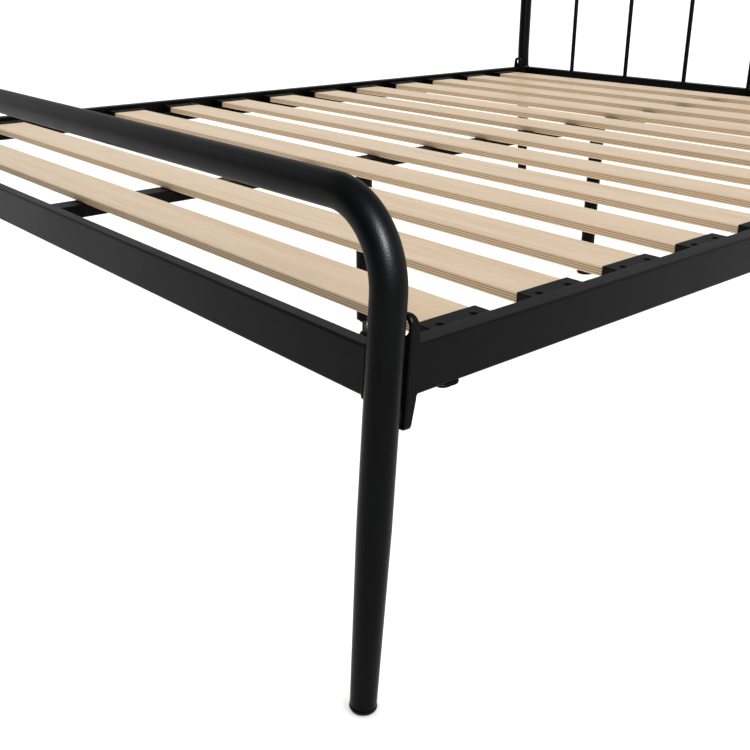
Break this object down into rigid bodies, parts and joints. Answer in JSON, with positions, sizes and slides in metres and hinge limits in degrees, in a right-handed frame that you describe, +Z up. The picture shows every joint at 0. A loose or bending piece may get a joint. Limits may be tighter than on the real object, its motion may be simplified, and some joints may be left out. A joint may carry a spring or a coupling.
{
  "type": "double bed frame",
  "caption": "Black tube-steel double bed frame with a low hoop footboard, a barred hoop headboard, tapered leaning legs and flat wooden slats on ledges and a centre beam.",
  "frame": {"origin": "on the floor, under the middle of the frame", "axes": "+Z up; +Y along the bed from the footboard to the headboard; +X across the bed"},
  "size_m": [1.666, 2.1226, 0.9975],
  "materials": {
    "black_powder_coat": "fine matt texture",
    "black_zinc": "satin",
    "black_plastic": "matt",
    "birch_slat": "clear matt lacquer"
  },
  "bodies": {
    "frame": {"footboard_hoop": "black_powder_coat", "headboard_hoop": "black_powder_coat", "foot_rail": "black_powder_coat", "head_rail": "black_powder_coat", "headboard_bar_1": "black_powder_coat", "headboard_bar_2": "black_powder_coat", "headboard_bar_3": "black_powder_coat", "headboard_bar_4": "black_powder_coat", "headboard_bar_5": "black_powder_coat", "headboard_bar_6": "black_powder_coat", "headboard_bar_7": "black_powder_coat", "side_rail_left": "black_powder_coat", "side_rail_right": "black_powder_coat", "rail_bracket_foot_left": "black_powder_coat", "rail_bracket_foot_right": "black_powder_coat", "rail_bracket_head_left": "black_powder_coat", "rail_bracket_head_right": "black_powder_coat", "hook_stud_foot_left": "black_zinc", "hook_stud_foot_right": "black_zinc", "hook_stud_head_left": "black_zinc", "hook_stud_head_right": "black_zinc", "leg_lug_foot_left": "black_powder_coat", "leg_lug_foot_right": "black_powder_coat", "leg_lug_head_left": "black_powder_coat", "leg_lug_head_right": "black_powder_coat", "lock_bolt_foot_left": "black_zinc", "lock_bolt_foot_right": "black_zinc", "lock_bolt_head_left": "black_zinc", "lock_bolt_head_right": "black_zinc", "leg_cap_foot_left": "black_plastic", "leg_cap_foot_right": "black_plastic", "leg_cap_head_left": "black_plastic", "leg_cap_head_right": "black_plastic", "cross_bar_foot": "black_powder_coat", "cross_bar_middle": "black_powder_coat", "cross_bar_head": "black_powder_coat", "cross_bolt_foot_left": "black_zinc", "cross_bolt_foot_right": "black_zinc", "cross_bolt_middle_left": "black_zinc", "cross_bolt_middle_right": "black_zinc", "cross_bolt_head_left": "black_zinc", "cross_bolt_head_right": "black_zinc", "centre_beam": "black_powder_coat", "centre_leg_foot_end": "black_powder_coat", "centre_leg_head_end": "black_powder_coat", "slat_01": "birch_slat", "slat_02": "birch_slat", "slat_03": "birch_slat", "slat_04": "birch_slat", "slat_05": "birch_slat", "slat_06": "birch_slat", "slat_07": "birch_slat", "slat_08": "birch_slat", "slat_09": "birch_slat", "slat_10": "birch_slat", "slat_11": "birch_slat", "slat_12": "birch_slat", "slat_13": "birch_slat"},
    "adjuster_foot_end": {"adjuster_foot_end": "black_plastic"},
    "adjuster_head_end": {"adjuster_head_end": "black_plastic"}
  },
  "joints": [
    {"name": "adjuster_foot_end_travel", "type": "slide", "parent": "frame", "child": "adjuster_foot_end", "axis": [0, 0, 1], "range_m": [-0.01, 0.02]},
    {"name": "adjuster_head_end_travel", "type": "slide", "parent": "frame", "child": "adjuster_head_end", "axis": [0, 0, 1], "range_m": [-0.01, 0.02]}
  ]
}
